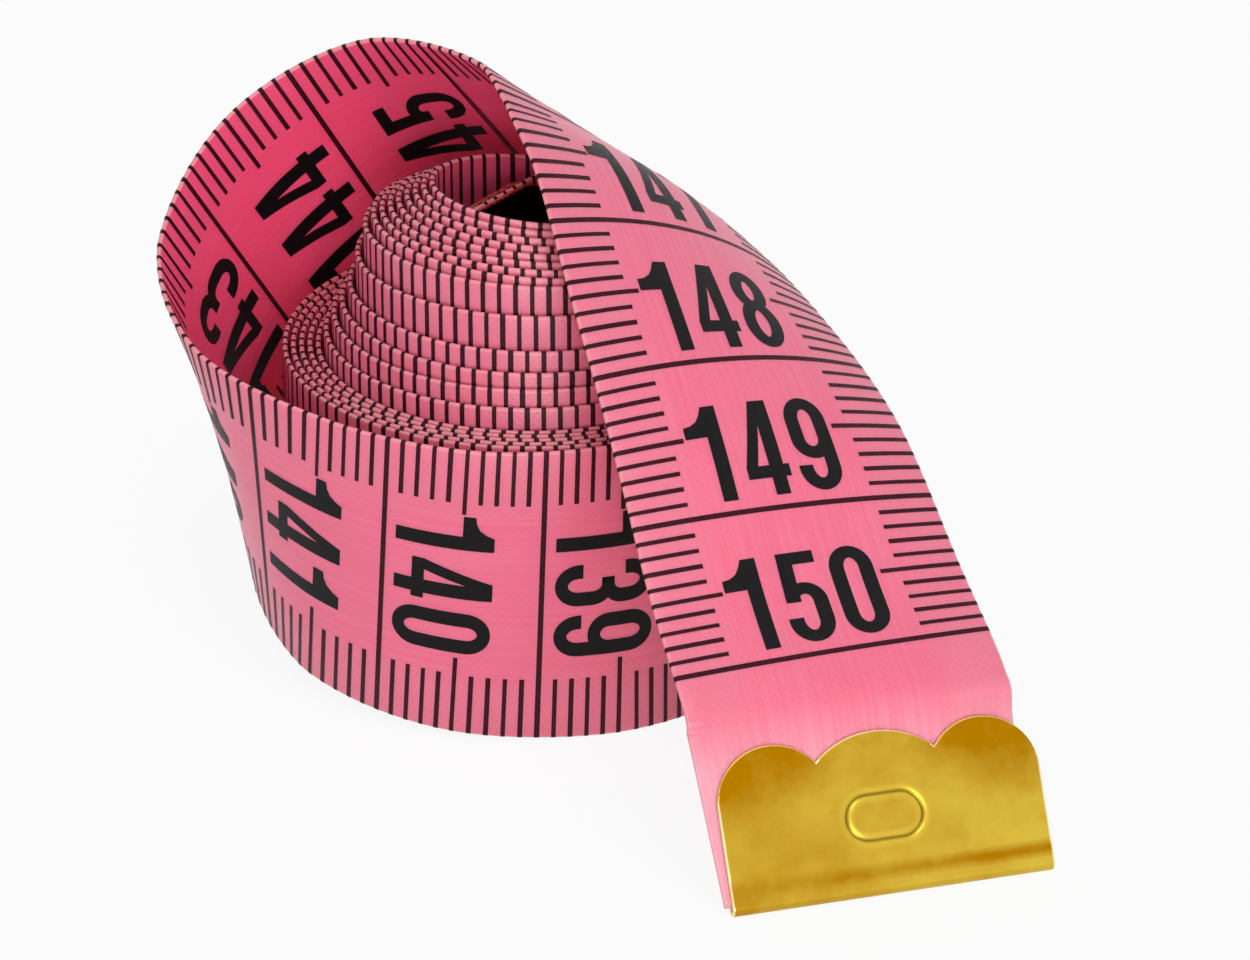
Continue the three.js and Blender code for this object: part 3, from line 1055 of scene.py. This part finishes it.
@dataclass(frozen=True)
class Figures:
    """Plain condensed figures, drawn in millimetres as broad strokes from each cell's lower left."""

    height: float = 6.2
    width: float = 2.85
    advance: float = 3.5
    advance_of_one: float = 3.355
    upright: float = 0.95
    level: float = 0.8
    wedge_run: float = 1.2

    def _lines(self, figure: str) -> list[Path]:
        """The middle lines of a figure's even strokes.

        Args:
            figure: one character from 0 to 9.

        Returns:
            Each stroke's points.
        """
        left, right, middle = self.upright / 2, self.width - self.upright / 2, self.width / 2
        base, top = self.level / 2, self.height - self.level / 2
        bowl, bend = right - middle, 1.1
        crown = arc(middle, top - bend, bowl, bend, 180, 0)
        cup = arc(middle, base + bend, bowl, bend, 0, -180)
        if figure == "0":
            return [[*crown, *cup, crown[0]]]
        if figure == "1":
            return [[(1.88, 0), (1.88, self.height)]]
        if figure == "2":
            sweep = [(2.33, 4.3), (2.16, 3.6), (1.65, 2.7), (1.1, 1.85), (0.75, 1.15), (0.6, 0.4)]
            return [[(left, 4.3), *crown, *sweep], [(0.1, base), (2.75, base)]]
        if figure == "3":
            upper = [(left, 4.45), *crown, *arc(1.45, 4.25, right - 1.45, 0.9, 0, -90), (1.0, 3.35)]
            lower = [(1.0, 3.35), *arc(1.45, 2.35, right - 1.45, 1.0, 90, 0), *cup, (left, 1.75)]
            return [upper, lower]
        if figure == "4":
            return [[(2.0, 0), (2.0, self.height)], [(0.0, 1.54), (self.width, 1.54)]]
        if figure == "5":
            bar = [(0.3, top), (2.7, top)]
            bulge = [(0.75, 3.1), *arc(1.45, 2.8, right - 1.45, 0.95, 150, 0), *cup, (left, 1.75)]
            return [bar, [(0.78, top), (0.68, 2.85)], bulge]
        if figure == "6":
            loop = arc(middle, 2.75, bowl, 0.95, 0, 180)
            return [[(right, 4.5), *reversed(crown), *reversed(cup), *loop]]
        if figure == "7":
            return [[(0.05, top), (2.8, top)], [(2.35, 5.7), (1.85, 4.2), (1.45, 2.3), (1.22, 0)]]
        if figure == "8":
            return [arc(middle, 4.57, 0.86, 1.23, -90, 270), arc(middle, 1.87, bowl, 1.47, 90, 450)]
        turned = self._lines("6")
        return [[(self.width - x, self.height - y) for x, y in path] for path in turned]

    def _wedges(self, figure: str) -> list[tuple[Path, Path]]:
        """The two sides of a figure's strokes that taper.

        Args:
            figure: one character from 0 to 9.

        Returns:
            Each stroke's left and right side, with the same number of points.
        """
        if figure == "1":
            flag_top = [(0.0, 4.98), (0.5, 5.06), (0.9, 5.28), (1.2, 5.68), (1.42, self.height)]
            return [(flag_top, [(0.0, 4.2), (0.5, 4.2), (0.9, 4.2), (1.2, 4.2), (1.6, 4.2)])]
        if figure == "4":
            outer = [(0.0, 1.9), (0.66, 4.05), (1.3, self.height)]
            return [(outer, [(0.78, 1.9), (1.3, 3.7), (1.95, self.height)])]
        return []

    def _ribbon(self, path: Path, step: float) -> tuple[Array, Array]:
        """Both sides of one even stroke.

        Args:
            path: the stroke's middle line.
            step: the longest distance between two of its points.

        Returns:
            The left and the right side's points.
        """
        points = np.array(path)
        steps = np.linalg.norm(np.diff(points, axis=0), axis=1)
        runs = np.concatenate([[0.0], np.cumsum(steps)])
        at = np.linspace(0, runs[-1], max(2, math.ceil(runs[-1] / step)) + 1)
        line = np.stack([np.interp(at, runs, points[:, axis]) for axis in (0, 1)], axis=-1)
        travel = np.gradient(line, axis=0)
        if np.allclose(line[0], line[-1]):
            travel[0] = travel[-1] = line[1] - line[-2]
        travel = unit(travel)
        half = np.hypot(travel[:, :1] * self.level, travel[:, 1:] * self.upright) / 2
        side = np.stack([-travel[:, 1], travel[:, 0]], axis=-1) * half
        return line + side, line - side

    def _wedge(self, left: Path, right: Path, step: float) -> tuple[Array, Array]:
        """Both sides of one tapering stroke.

        Args:
            left: its left side.
            right: its right side, with as many points.
            step: the longest distance between two of its points.

        Returns:
            The left and the right side's points.
        """
        both = np.hstack([np.array(left), np.array(right)])
        count = (len(both) - 1) * max(1, math.ceil(self.wedge_run / step))
        at = np.linspace(0, len(both) - 1, count + 1)
        fine = np.stack([np.interp(at, range(len(both)), column) for column in both.T], axis=-1)
        return fine[:, 0:2], fine[:, 2:4]

    def number(self, text: str, step: float) -> tuple[list[tuple[Array, Array]], float]:
        """The strokes of a whole number.

        Args:
            text: its figures.
            step: the longest distance between two points along a stroke.

        Returns:
            Each stroke's left and right side, from the number's lower left corner, and its width.
        """
        strokes, x, end = [], 0.0, 0.0
        for figure in text:
            pairs = [self._ribbon(path, step) for path in self._lines(figure)]
            pairs += [self._wedge(*sides, step) for sides in self._wedges(figure)]
            strokes += [(left + (x, 0), right + (x, 0)) for left, right in pairs]
            end = x + self.width
            x += self.advance_of_one if figure == "1" else self.advance
        return strokes, end


@dataclass
class ScalePrint:
    """The centimetre scale printed on both faces of one stretch of tape; sizes in metres.

    The steps along a figure's strokes are in millimetres. A stretch with no more than
    straight_steps across lies straight there, so its lines take no more points.
    """

    course: TapeCourse
    stretch: Stretch
    figures: Figures = Figures()
    lift: float = 0.02 * MM
    tick: float = 0.28 * MM
    line: float = 0.33 * MM
    base_gap: float = 0.8 * MM
    middle: float = 9.4 * MM
    ticks_a: tuple[float, float] = (3.65 * MM, 4.4 * MM)
    ticks_b: tuple[float, float] = (4.2 * MM, 5.4 * MM)
    uneven_share: float = 0.08
    uneven_turn: float = 2.4
    tip_gap: float = 2 * MM
    rounding: float = 0.01
    straight_steps: int = 8
    fine_from: float = 1.37
    fine_step: float = 0.2
    plain_step: float = 0.7

    def _lay(self, bm: bmesh.types.BMesh, face: Face, x: Array, y: Array, keep: Array) -> None:
        """Lays one grid of ink on a face, with gaps.

        Args:
            bm: the bmesh that takes it.
            face: the face that is printed.
            x: each point's place from the face's left edge, by column and row; past the flat part
                it counts round the rounded edge.
            y: its place upwards, against the reading.
            keep: which cells are printed.
        """
        layer = bm.loops.layers.uv.verify()
        grid = SheetGrid(bm, *x.shape)
        across, reading = x[grid.column, grid.row], -y[grid.column, grid.row]
        radius = self.course.tape.thickness / 2
        half = self.course.tape.width / 2
        side = across - half
        round_edge = np.maximum(0.0, np.abs(side) - (half - radius)) / radius
        inked = radius + self.lift
        reach = np.minimum(np.abs(side), half - radius) + inked * np.sin(round_edge)
        offset = -face.value * np.sign(side) * reach
        height = face.value * inked * np.cos(round_edge)
        points = self.course.lay(reading, offset, height)
        grid.place(points, layer, np.stack([reading, offset], axis=-1))
        gaps = [cell for cell, column, row in grid.cells() if not keep[column, row]]
        bmesh.ops.delete(bm, geom=gaps, context="FACES")

    def _marks(self) -> Array:
        """Counts the marks on this stretch.

        Returns:
            The millimetres of the scale that stand on it.
        """
        start = max(self.stretch.start, self.course.first_mark + self.tip_gap) / MM
        end = min(self.stretch.end, self.course.tape.last_mark) / MM
        return np.arange(math.ceil(start - self.rounding), math.floor(end + self.rounding) + 1)

    def _rows(self, left: tuple[float, float], right: tuple[float, float]) -> Array:
        """Places of the rows of the line grid, from the face's left edge.

        Args:
            left: lengths of the left edge's short and long ticks.
            right: lengths of the right edge's short and long ticks.

        Returns:
            The places: round the left edge, the tick ends, and round the right edge.
        """
        tape = self.course.tape
        radius = tape.thickness / 2
        rim = [radius - radius * math.pi / 2 * share for share in (1, 0.5, 0)]
        ends = [*rim, *left, *(tape.width - end for end in reversed(right))]
        ends += [tape.width - place for place in reversed(rim)]
        if self.stretch.across_steps <= self.straight_steps:
            return np.array(ends)
        fill = []
        for start, end in zip(ends, ends[1:]):
            fill += np.linspace(start, end, math.ceil((end - start) / MM), endpoint=False).tolist()
        return np.array([*fill, ends[-1]])

    def build_lines(self) -> bpy.types.Object:
        """Prints the millimetre ticks and the centimetre lines.

        Returns:
            The piece.
        """
        bm = bmesh.new()
        bm.loops.layers.uv.new("cloth")
        marks = self._marks()
        is_line, is_long = marks % MARKS_PER_CM == 0, marks % (MARKS_PER_CM // 2) == 0
        uneven = 1 + self.uneven_share * np.sin(self.uneven_turn * marks)
        thick = np.where(is_line, self.line, self.tick * uneven)
        low = np.maximum(self.stretch.start, marks * MM - thick / 2)
        high = np.minimum(self.stretch.end, marks * MM + thick / 2)
        y = -np.stack([low, high], axis=-1).reshape(-1, 1)
        for face in Face:
            left, right = (self.ticks_a, self.ticks_b)[::face.value]
            rows = self._rows(left, right)
            middles = (rows[1:] + rows[:-1]) / 2
            width = self.course.tape.width
            reach = np.where(is_long[:, None], (left[1], right[1]), (left[0], right[0]))
            inked = (middles < reach[:, :1]) | (middles > width - reach[:, 1:])
            keep = np.zeros((2 * len(marks) - 1, len(middles)), bool)
            keep[::2] = inked | is_line[:, None]
            self._lay(bm, face, np.tile(rows, (len(y), 1)), np.tile(y, (1, len(rows))), keep)
        return finished_object(f"{self.stretch.name}_scale_lines", bm)

    def build_figures(self) -> bpy.types.Object:
        """Prints the numbers, each just before its line.

        Returns:
            The piece.
        """
        bm = bmesh.new()
        bm.loops.layers.uv.new("cloth")
        numbers = [mark for mark in self._marks() if mark % MARKS_PER_CM == 0]
        top = self.figures.height * MM + self.base_gap
        numbers = [mark for mark in numbers if mark * MM - top > self.stretch.start]
        fine = [mark for mark in numbers if mark * MM >= self.fine_from]
        plain = [mark for mark in numbers if mark * MM < self.fine_from]
        for face in Face:
            for group, step, rows in ((fine, self.fine_step, 3), (plain, self.plain_step, 2)):
                if group:
                    self._numbers(bm, face, group, step, rows)
        return finished_object(f"{self.stretch.name}_scale_figures", bm)

    def _numbers(
        self, bm: bmesh.types.BMesh, face: Face, marks: list[int], step: float, rows: int,
    ) -> None:
        """Prints some numbers as one grid, with gaps between the strokes.

        Args:
            bm: the bmesh that takes them.
            face: the face that is printed.
            marks: the millimetres that they stand at.
            step: the longest distance between two points along a stroke, in millimetres.
            rows: how many points stand across a stroke.
        """
        lefts, rights, lasts = [], [], []
        for mark in marks:
            strokes, width = self.figures.number(str(mark // MARKS_PER_CM), step)
            corner = (self.middle - width * MM / 2, self.base_gap - mark * MM)
            for left, right in strokes:
                lefts.append(left * MM + corner)
                rights.append(right * MM + corner)
                lasts.append(len(left))
        left, right = np.vstack(lefts), np.vstack(rights)
        share = np.linspace(0, 1, rows)
        x = right[:, :1] + (left - right)[:, :1] * share
        y = right[:, 1:] + (left - right)[:, 1:] * share
        keep = np.ones((len(left) - 1, rows - 1), bool)
        keep[np.cumsum(lasts)[:-1] - 1] = False
        self._lay(bm, face, x, y, keep)


@dataclass
class BrassClip:
    """A clip of folded sheet brass with three lobes and an oval stamp."""

    name: str
    size: ClipSize
    place: ClipPlace
    plate_rows: int = 92
    fold_rows: int = 12
    lobe_steps: int = 30
    middle_steps: int = 96
    bow: float = 0.05 * MM
    edge_chamfer: float = 0.15 * MM
    edge_share: float = 0.3
    cut_share: float = 0.5
    stamp_ring_reach: float = 0.45 * MM

    def _top_edge(self) -> Array:
        """Draws the lobed open edge.

        Returns:
            Points along it, side to side: place across, then height.
        """
        size = self.size
        half, radius = size.width / 2, size.side_lobe_radius
        centre, side_top = half - radius, size.depth - radius
        notch_angle = math.asin(1 - size.notch_depth / radius)
        notch = centre - radius * math.cos(notch_angle)
        middle_radius = (notch**2 + size.notch_depth**2) / (2 * size.notch_depth)
        reach = math.asin(notch / middle_radius)
        turn = np.linspace(0, math.pi - notch_angle, self.lobe_steps)
        right = np.stack([centre + radius * np.cos(turn), side_top + radius * np.sin(turn)], axis=-1)
        turn = np.linspace(reach, -reach, self.middle_steps)[1:-1]
        drop = middle_radius * (1 - np.cos(turn))
        middle = np.stack([middle_radius * np.sin(turn), size.depth - drop], axis=-1)
        return np.vstack([right, middle, right[::-1] * (-1, 1)])

    def _near_stamp(self, x: Array, y: Array, reach: float) -> Array:
        """How near places on the plate lie to the stamped oval's line, 1 on it.

        Args:
            x: places across the plate.
            y: places up the plate.
            reach: how far off the line the value falls to about a third.

        Returns:
            The values.
        """
        size = self.size
        radius = size.stamp_height / 2
        along = np.maximum(0.0, np.abs(x) - (size.stamp_length / 2 - radius))
        off = (np.hypot(along, y - size.stamp_from_fold) - radius) / reach
        return np.exp(-off**2)

    def _surface(self, x: Array, top: Array, row: Array) -> Array:
        """Points of the sheet's mid surface.

        Args:
            x: places across the clip.
            top: heights of the open edge there.
            row: how far down the front plate, round the fold and up the back plate.

        Returns:
            The points: across, up from the fold and outward.
        """
        size = self.size
        radius = size.fold_radius - size.sheet / 2
        turn = np.clip((row - self.plate_rows) / self.fold_rows, 0, 1)
        last = 2 * self.plate_rows + self.fold_rows
        share = np.clip(1 - np.minimum(row, last - row) / self.plate_rows, 0, 1)
        y = size.fold_radius + (top - size.fold_radius) * share - radius * np.sin(math.pi * turn)
        swell = self.bow * np.sin(math.pi * share) * np.cos(math.pi * x / size.width)
        crease = size.crease_depth * np.exp(-((y - size.crease_from_fold) / size.crease_reach) ** 2)
        outward = np.cos(math.pi * turn) * (radius + swell - crease * (share > 0))
        groove = size.stamp_depth * self._near_stamp(x, y, size.stamp_groove)
        outward -= groove * (row < self.plate_rows)
        return np.stack([x, y, outward], axis=-1)

    def _inside(self, points: Array, edge: Array) -> Array:
        """How far points of the plates lie inside the clip's outline.

        Args:
            points: the points: across, up from the fold and outward.
            edge: points along the lobed open edge.

        Returns:
            The distances.
        """
        sides = self.size.width / 2 - np.abs(points[:, 0])
        lobes = np.min([np.hypot(*(points[:, 0:2] - corner).T) for corner in edge], axis=0)
        return np.minimum(sides, lobes)

    def build(self) -> bpy.types.Object:
        """Builds the clip.

        Returns:
            The piece.
        """
        edge = self._top_edge()
        bm = bmesh.new()
        layer = bm.loops.layers.uv.new("plate")
        stamp_layer = bm.verts.layers.float.new("near_stamp")
        weights = bm.verts.layers.deform.verify()
        grid = SheetGrid(bm, len(edge), 2 * self.plate_rows + self.fold_rows + 1)
        x, top = edge[grid.column].T
        points = self._surface(x, top, grid.row)
        axes = np.stack([self.place.side, self.place.along, self.place.outward])
        grid.place(self.place.fold + points @ axes, layer, points[:, 0:2])
        near = self._near_stamp(x, points[:, 1], self.stamp_ring_reach) * (grid.row < self.plate_rows)
        inside = np.clip(self._inside(points, edge) / self.edge_chamfer, 0, 1)
        for vert, value, share in zip(grid.verts, near, np.sqrt(inside * (2 - inside))):
            vert[stamp_layer] = value
            vert[weights][0] = share
        # Faces along the outline take the pale cut-edge brass, which holds painted highlight.
        for face, _, _ in grid.cells():
            least = min(inside[vert.index] for vert in face.verts)
            face.material_index = int(least < self.cut_share)
        clip = finished_object(self.name, bm)
        wall = clip.modifiers.new("sheet", "SOLIDIFY")
        wall.thickness = self.size.sheet
        wall.offset = 0.0
        wall.vertex_group = clip.vertex_groups.new(name="full_wall").name
        wall.thickness_vertex_group = self.edge_share
        return clip


def aimed_object(name: str, data: bpy.types.ID, place: Vector, facing: Vector) -> bpy.types.Object:
    """Adds a lamp or a camera to the scene.

    Args:
        name: its name.
        data: the lamp's or the camera's data.
        place: where it stands.
        facing: the way it faces.

    Returns:
        The object.
    """
    holder = bpy.data.objects.new(name, data)
    holder.location = place
    holder.rotation_euler = facing.to_track_quat("-Z", "Y").to_euler()
    bpy.context.scene.collection.objects.link(holder)
    return holder


@dataclass(frozen=True)
class SoftLamp:
    """A square area lamp that faces the object; sizes in metres, power in watts."""

    name: str
    place: tuple[float, float, float]
    size: float
    power: float
    in_gloss: bool = True

    def build(self, target: Vector) -> None:
        """Adds the lamp.

        Args:
            target: the point that it faces.
        """
        lamp = bpy.data.lights.new(self.name, "AREA")
        lamp.size = self.size
        lamp.energy = self.power
        place = Vector(self.place)
        holder = aimed_object(self.name, lamp, place, target - place)
        holder.visible_glossy = self.in_gloss


@dataclass
class Studio:
    """The pale floor, the soft light and the camera at the photograph's angle."""

    shift: Array
    elevation: float = math.radians(26.64)
    distance: float = 0.3501
    focal_pixels: float = 5518
    image_width: float = 1250
    sensor_mm: float = 36.0
    nearest: float = 0.01
    aim_before_shift: tuple[float, float, float] = (0.00214, 0.0, 0.01086)
    floor_half: float = 3.0
    floor_drop: float = 0.02 * MM
    floor_grey: float = 0.9
    floor_roughness: float = 0.9
    floor_gloss: float = 0.1
    floor_white: float = 0.9
    fill: float = 0.54
    lamps: tuple[SoftLamp, ...] = (
        SoftLamp("key_softbox", (0.36, -0.6, 0.55), size=0.6, power=1.8, in_gloss=False),
        SoftLamp("front_softbox", (0.02, -0.88, 0.16), size=0.3, power=2.3),
        SoftLamp("top_softbox", (-0.05, -0.3, 0.6), size=0.2, power=0.5),
    )

    @property
    def aim(self) -> Vector:
        """The point that the camera and the lamps face."""
        return Vector(np.array(self.aim_before_shift) + self.shift)

    def _camera(self) -> None:
        """Sets the camera."""
        camera = bpy.data.cameras.new("camera")
        camera.sensor_fit = "HORIZONTAL"
        camera.sensor_width = self.sensor_mm
        camera.lens = self.sensor_mm * self.focal_pixels / self.image_width
        camera.clip_start = self.nearest
        back = Vector((0, -math.cos(self.elevation), math.sin(self.elevation)))
        place = self.aim + back * self.distance
        bpy.context.scene.camera = aimed_object("camera", camera, place, -back)

    def _seen(self, nodes: NodeTree) -> bpy.types.NodeSocket:
        """Finds the rays that should meet a white background.

        Args:
            nodes: the floor's or the world's tree.

        Returns:
            A socket that is 1 for them.
        """
        path = nodes.add("ShaderNodeLightPath")
        seen = nodes.math("MAXIMUM", path.outputs["Is Camera Ray"], path.outputs["Is Glossy Ray"])
        return nodes.math("MAXIMUM", seen, path.outputs["Is Transmission Ray"])

    def _floor(self) -> None:
        """Lays the floor."""
        bm = bmesh.new()
        bmesh.ops.create_grid(bm, x_segments=1, y_segments=1, size=self.floor_half)
        bmesh.ops.translate(bm, verts=bm.verts, vec=(0, 0, -self.floor_drop))
        material, nodes, shader = blank_material("pale_floor")
        shader.inputs["Base Color"].default_value = (*[self.floor_grey] * 3, 1)
        shader.inputs["Roughness"].default_value = self.floor_roughness
        shader.inputs["Specular IOR Level"].default_value = self.floor_gloss
        glow = nodes.add("ShaderNodeEmission")
        glow.inputs["Color"].default_value = (1, 1, 1, 1)
        glow.inputs["Strength"].default_value = 1.0
        blend = nodes.add("ShaderNodeMixShader")
        nodes.feed(blend.inputs[0], nodes.math("MULTIPLY", self._seen(nodes), self.floor_white))
        nodes.feed(blend.inputs[1], shader.outputs["BSDF"])
        nodes.feed(blend.inputs[2], glow.outputs["Emission"])
        out = material.node_tree.nodes["Material Output"]
        nodes.feed(out.inputs["Surface"], blend.outputs["Shader"])
        floor = finished_object("floor", bm)
        dress(floor, material)

    def _world(self) -> None:
        """Sets the soft light all round."""
        world = bpy.data.worlds.new("studio")
        bpy.context.scene.world = world
        world.use_nodes = True
        nodes = NodeTree(world.node_tree)
        background = world.node_tree.nodes["Background"]
        background.inputs["Color"].default_value = (1, 1, 1, 1)
        nodes.feed(background.inputs["Strength"], nodes.span(self._seen(nodes), self.fill, 1.0))

    def build(self) -> None:
        """Builds the studio."""
        self._camera()
        self._floor()
        self._world()
        for lamp in self.lamps:
            lamp.build(self.aim)
        bpy.context.scene.view_settings.view_transform = "Standard"


@dataclass
class TapeMeasure:
    """The whole tape measure: cloth, print and clips; the wound stretch and the clips on their bodies.
    """

    tape: TapeSize = TapeSize()
    coil: CoilSize = CoilSize()
    clip: ClipSize = ClipSize()
    end: OuterEnd = OuterEnd()
    seam: float = 1.45
    bend_reach: float = 5 * MM

    def __post_init__(self) -> None:
        """Works out the course and the finishes."""
        self.course = TapeCourse(self.tape, self.coil, self.clip, self.end)
        effects = SharedEffects(weave_group(), patches_group())
        # Painted sheen: the outer face's pink is paler than the inner face's, which is the cloth's own
        # colour.
        outer = ClothFinish(
            "pink_outer_face_painted_sheen", linear(241, 106, 140), linear(247, 134, 160), linear(236, 122, 148),
        )
        edge = ClothFinish(
            "cut_edge", linear(238, 124, 144), linear(248, 170, 172), linear(240, 146, 156),
        )
        inner = ClothFinish(
            "pink_inner_face", linear(246, 80, 124), linear(249, 98, 138), linear(242, 88, 128),
            roughness=(0.55, 0.65), gloss=0.15,
        )
        self.cloth = [finish.material(effects) for finish in (outer, edge, inner)]
        self.fine_ink = InkFinish("fine_ink", linear(40, 4, 13), linear(84, 12, 30)).material(effects)
        self.figure_ink = InkFinish("figure_ink", linear(8, 8, 9), linear(30, 18, 21)).material(effects)
        self.brass = BrassFinish("brass", linear(213, 181, 62), linear(176, 121, 0)).material(effects)
        # Cut edges: pale bare brass, with painted highlight in its near-white colour.
        self.edge_brass_and_highlight = BrassFinish(
            "cut_brass_and_highlight", linear(253, 242, 204), linear(236, 208, 128), roughness=(0.22, 0.34),
        ).material(effects)
        # Painted shade: the inner clip's plates are nearly black, as in the shade of the core's hole.
        self.brass_painted_shade = BrassFinish(
            "brass_painted_shade", linear(24, 20, 14), linear(10, 9, 8), roughness=(0.45, 0.6),
        ).material(effects)

    def _stretches(self) -> tuple[Stretch, Stretch]:
        """Parts the tape under a printed line.

        Returns:
            The wound stretch and the free end.
        """
        tip = self.tape.last_mark + self.tape.blank_end
        return (
            Stretch("tape_wound", self.course.first_mark, self.seam, step=0.6 * MM, across_steps=8),
            Stretch("tape_free_end", self.seam, tip, step=0.4 * MM, across_steps=20),
        )

    def _build_stretch(self, stretch: Stretch) -> list[bpy.types.Object]:
        """Builds the cloth and print of one stretch, the cloth first.

        Args:
            stretch: the stretch to make.

        Returns:
            The pieces.
        """
        sheet = TapeCloth(self.course, stretch).build()
        dress(sheet, *self.cloth)
        scale = ScalePrint(self.course, stretch)
        lines, figures = scale.build_lines(), scale.build_figures()
        dress(lines, self.fine_ink)
        dress(figures, self.figure_ink)
        return [sheet, lines, figures]

    def _build_clip(self, name: str, place: ClipPlace, plate: bpy.types.Material) -> bpy.types.Object:
        """Builds one end clip.

        Args:
            name: the piece's name.
            place: where it sits.
            plate: the finish of its plates.

        Returns:
            The piece.
        """
        clip = BrassClip(name, self.clip, place).build()
        dress(clip, plate, self.edge_brass_and_highlight)
        return clip

    def build(self) -> None:
        """Builds every piece and sets the wound stretch and the clips on their bodies."""
        wound, free_end = self._stretches()
        wound_pieces = self._build_stretch(wound)
        for piece in wound_pieces:
            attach(piece, Body.COIL.value)
        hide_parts("tape_coil", "tape_loop")
        start, end = self.course.crest_span(self.bend_reach)
        free_pieces = self._build_stretch(free_end)
        for piece in free_pieces:
            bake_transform(piece)
        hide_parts("tape_tail")
        inner = self._build_clip("inner_clip", self.course.inner_clip_place(), self.brass_painted_shade)
        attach(inner, Body.COIL.value)
        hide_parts("inner_end_clip")
        outer = self._build_clip("outer_clip", self.course.outer_clip_place(), self.brass)
        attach(outer, Body.TAIL.value)
        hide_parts("outer_end_clip")


def main() -> None:
    """Builds the tape measure and its studio."""
    logging.basicConfig(level=logging.INFO, format="%(name)s: %(message)s")
    measure = TapeMeasure()
    LOG.info("tape length %.1f mm", measure.course.total / MM)
    measure.build()
    Studio(measure.course.shift).build()


if __name__ == "__main__":
    main()
